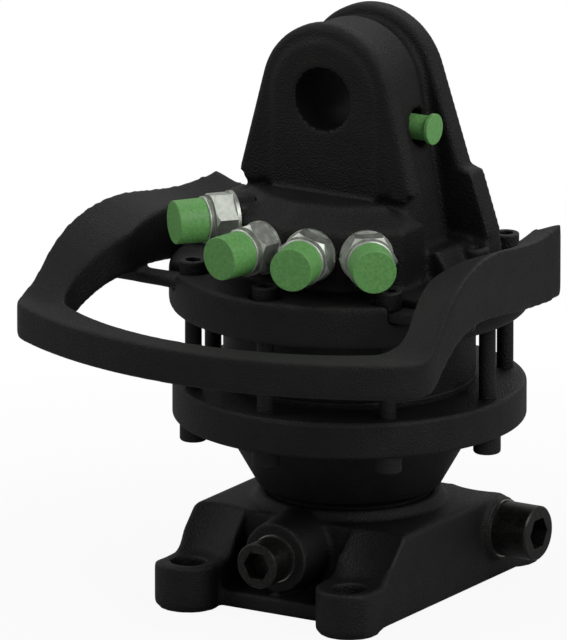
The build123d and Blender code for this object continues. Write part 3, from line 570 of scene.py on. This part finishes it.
zinc, tree = new_material("zinc-plated steel")
place = add_node(tree, "ShaderNodeTexCoord")
cloud = add_node(
    tree, "ShaderNodeTexNoise", {"Scale": 1 / CLOUD_WIDTH, "Detail": 4.0},
    {"Vector": place.outputs["Object"]},
)
tone = add_node(tree, "ShaderNodeValToRGB", None, {"Fac": cloud.outputs["Fac"]})
for stop, position, colour in zip(tone.color_ramp.elements, FINE_SPREAD, ZINC_TONES):
    stop.position = position
    stop.color = linear(colour)
rough = add_node(
    tree, "ShaderNodeMapRange", {"To Min": ZINC_ROUGHNESS[0], "To Max": ZINC_ROUGHNESS[1]},
    {"Value": cloud.outputs["Fac"]},
)
soft_edge = add_node(tree, "ShaderNodeBevel", {"Radius": HEX_EDGE}, samples=EDGE_SAMPLES)
relief = add_node(
    tree, "ShaderNodeBump", {"Strength": 0.25, "Distance": FINE_RELIEF},
    {"Height": cloud.outputs["Fac"], "Normal": soft_edge.outputs["Normal"]},
)
metal = add_node(
    tree, "ShaderNodeBsdfPrincipled", {"Metallic": 1.0},
    {
        "Base Color": tone.outputs["Color"], "Roughness": rough.outputs["Result"],
        "Normal": relief.outputs["Normal"],
    },
)
add_node(tree, "ShaderNodeOutputMaterial", None, {"Surface": metal.outputs["BSDF"]})
dress(zinc, *[f"port_adapter_{n + 1}" for n in range(1, len(PORT_FAN))])
dress(zinc, *[f"port_seal_{n + 1}" for n in range(len(PORT_FAN))])

# The first fitting sits higher than the rest, and its stub lies open in the shoulder behind the seat,
# where the casting's paint covers it
first_turn = math.radians(PORT_FAN[0])
outward = Vector((math.sin(first_turn), -math.cos(first_turn), 0))
first_seat = outward * PORT_REACH + Vector((0, 0, PORT_LEVELS[0]))
first_mesh = nodes["port_adapter_1"].data.copy()
first_mesh.materials.clear()
first_mesh.materials.append(zinc)
first_mesh.materials.append(cast_iron)
for face in first_mesh.polygons:
    face.material_index = 1 if (face.center - first_seat).dot(outward) < 0 else 0
first_adapter = bpy.data.objects.new("first_port_adapter", first_mesh)
scene.collection.objects.link(first_adapter)
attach(first_adapter, "housing")
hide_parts("port_adapter_1")

# The mouth of each fitting has two turns of thread and a collar that the cap is pushed against
mouth_sizes = {
    "Thread Radius": 0.0133, "Thread Pitch": 0.0011, "Thread Turns": 2.0, "Ridge": 0.0005,
    "Collar Radius": 0.0141, "Collar Width": 0.0013, "Collar Depth": 0.0026, "Collar Place": 0.0033,
    "First Turn": math.radians(PORT_FAN[0]), "Next Turn": math.radians(PORT_FAN[1] - PORT_FAN[0]),
}
THREAD_STEPS = 48
RIDGE_SIDES = 6
COLLAR_STEPS = 64

fitting_mouth = bpy.data.node_groups.new("fitting mouth", "GeometryNodeTree")
tree = fitting_mouth
panel = tree.interface
panel.new_socket("Mouths", in_out="INPUT", socket_type="NodeSocketGeometry")
sockets = {}
for name in mouth_sizes:
    sockets[name] = panel.new_socket(name, in_out="INPUT", socket_type="NodeSocketFloat")
sockets["Finish"] = panel.new_socket("Finish", in_out="INPUT", socket_type="NodeSocketMaterial")
panel.new_socket("Mouths", in_out="OUTPUT", socket_type="NodeSocketGeometry")
given = add_node(tree, "NodeGroupInput").outputs
rise = add_node(
    tree, "ShaderNodeMath", None, {0: given["Thread Pitch"], 1: given["Thread Turns"]},
    operation="MULTIPLY",
)
helix = add_node(
    tree, "GeometryNodeCurveSpiral", {"Resolution": THREAD_STEPS},
    {
        "Rotations": given["Thread Turns"], "Start Radius": given["Thread Radius"],
        "End Radius": given["Thread Radius"], "Height": rise.outputs[0],
    },
)
ridge = add_node(
    tree, "GeometryNodeCurvePrimitiveCircle", {"Resolution": RIDGE_SIDES}, {"Radius": given["Ridge"]},
)
thread = add_node(
    tree, "GeometryNodeCurveToMesh", {"Fill Caps": True},
    {"Curve": helix.outputs["Curve"], "Profile Curve": ridge.outputs["Curve"]},
)
ring = add_node(
    tree, "GeometryNodeCurvePrimitiveCircle", {"Resolution": COLLAR_STEPS},
    {"Radius": given["Collar Radius"]},
)
section = add_node(
    tree, "GeometryNodeCurvePrimitiveQuadrilateral", None,
    {"Width": given["Collar Depth"], "Height": given["Collar Width"]},
)
band = add_node(
    tree, "GeometryNodeCurveToMesh", None,
    {"Curve": ring.outputs["Curve"], "Profile Curve": section.outputs["Curve"]},
)
lift = add_node(tree, "ShaderNodeCombineXYZ", None, {"Z": given["Collar Place"]})
collar = add_node(
    tree, "GeometryNodeTransform", None,
    {"Geometry": band.outputs["Mesh"], "Translation": lift.outputs["Vector"]},
)
mouth = add_node(tree, "GeometryNodeJoinGeometry")
tree.links.new(thread.outputs["Mesh"], mouth.inputs[0])
tree.links.new(collar.outputs["Geometry"], mouth.inputs[0])
count = add_node(tree, "GeometryNodeInputIndex")
fan = add_node(
    tree, "ShaderNodeMath", None,
    {0: count.outputs["Index"], 1: given["Next Turn"], 2: given["First Turn"]}, operation="MULTIPLY_ADD",
)
# Each mouth is laid over to face outwards, and then turned to its place in the fan
facing = add_node(tree, "ShaderNodeCombineXYZ", {"X": math.radians(90)}, {"Z": fan.outputs[0]})
copies = add_node(
    tree, "GeometryNodeInstanceOnPoints", None,
    {"Points": given["Mouths"], "Instance": mouth.outputs[0], "Rotation": facing.outputs["Vector"]},
)
real = add_node(tree, "GeometryNodeRealizeInstances", None, {"Geometry": copies.outputs["Instances"]})
plated = add_node(
    tree, "GeometryNodeSetMaterial", None,
    {"Geometry": real.outputs["Geometry"], "Material": given["Finish"]},
)
add_node(tree, "NodeGroupOutput", None, {"Mouths": plated.outputs["Geometry"]})

mouth_points = [
    (HEX_FRONT * math.sin(math.radians(turn)), -HEX_FRONT * math.cos(math.radians(turn)), level)
    for turn, level in zip(PORT_FAN, PORT_LEVELS)
]
mouth_mesh = bpy.data.meshes.new("mouth places")
mouth_mesh.from_pydata(mouth_points, [], [])
places = bpy.data.objects.new("mouth places", mouth_mesh)
scene.collection.objects.link(places)
made = places.modifiers.new("mouths", "NODES")
made.node_group = fitting_mouth
for name, size in mouth_sizes.items():
    made[sockets[name].identifier] = size
made[sockets["Finish"].identifier] = zinc
mouths = bpy.data.meshes.new_from_object(places.evaluated_get(bpy.context.evaluated_depsgraph_get()))
bpy.data.objects.remove(places)
port_mouths = bpy.data.objects.new("port_mouths", mouths)
scene.collection.objects.link(port_mouths)
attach(port_mouths, "housing")


# Port caps and side plug
# Push-on transport caps and a plug of soft green polyethylene, injection moulded. Their waxy skin is
# faintly mottled and lets a little light in.
WAX_WIDTH = 0.002
CAP_EDGE = 0.0006
CAP_TONES = ("6CAB5D", "82C672")
CAP_ROUGHNESS = (0.4, 0.6)

polyethylene, tree = new_material("green polyethylene")
place = add_node(tree, "ShaderNodeTexCoord")
wax = add_node(
    tree, "ShaderNodeTexNoise", {"Scale": 1 / WAX_WIDTH, "Detail": 4.0},
    {"Vector": place.outputs["Object"]},
)
tone = add_node(tree, "ShaderNodeValToRGB", None, {"Fac": wax.outputs["Fac"]})
for stop, position, colour in zip(tone.color_ramp.elements, FINE_SPREAD, CAP_TONES):
    stop.position = position
    stop.color = linear(colour)
rough = add_node(
    tree, "ShaderNodeMapRange", {"To Min": CAP_ROUGHNESS[0], "To Max": CAP_ROUGHNESS[1]},
    {"Value": wax.outputs["Fac"]},
)
soft_edge = add_node(tree, "ShaderNodeBevel", {"Radius": CAP_EDGE}, samples=EDGE_SAMPLES)
relief = add_node(
    tree, "ShaderNodeBump", {"Strength": 0.3, "Distance": FINE_RELIEF},
    {"Height": wax.outputs["Fac"], "Normal": soft_edge.outputs["Normal"]},
)
plastic = add_node(
    tree, "ShaderNodeBsdfPrincipled", {"IOR": 1.5, "Subsurface Weight": 0.1, "Subsurface Scale": 0.002},
    {
        "Base Color": tone.outputs["Color"], "Roughness": rough.outputs["Result"],
        "Normal": relief.outputs["Normal"],
    },
)
add_node(tree, "ShaderNodeOutputMaterial", None, {"Surface": plastic.outputs["BSDF"]})
dress(polyethylene, *[f"port_cap_{n + 1}" for n in range(len(PORT_FAN))])
dress(polyethylene, "side_plug")
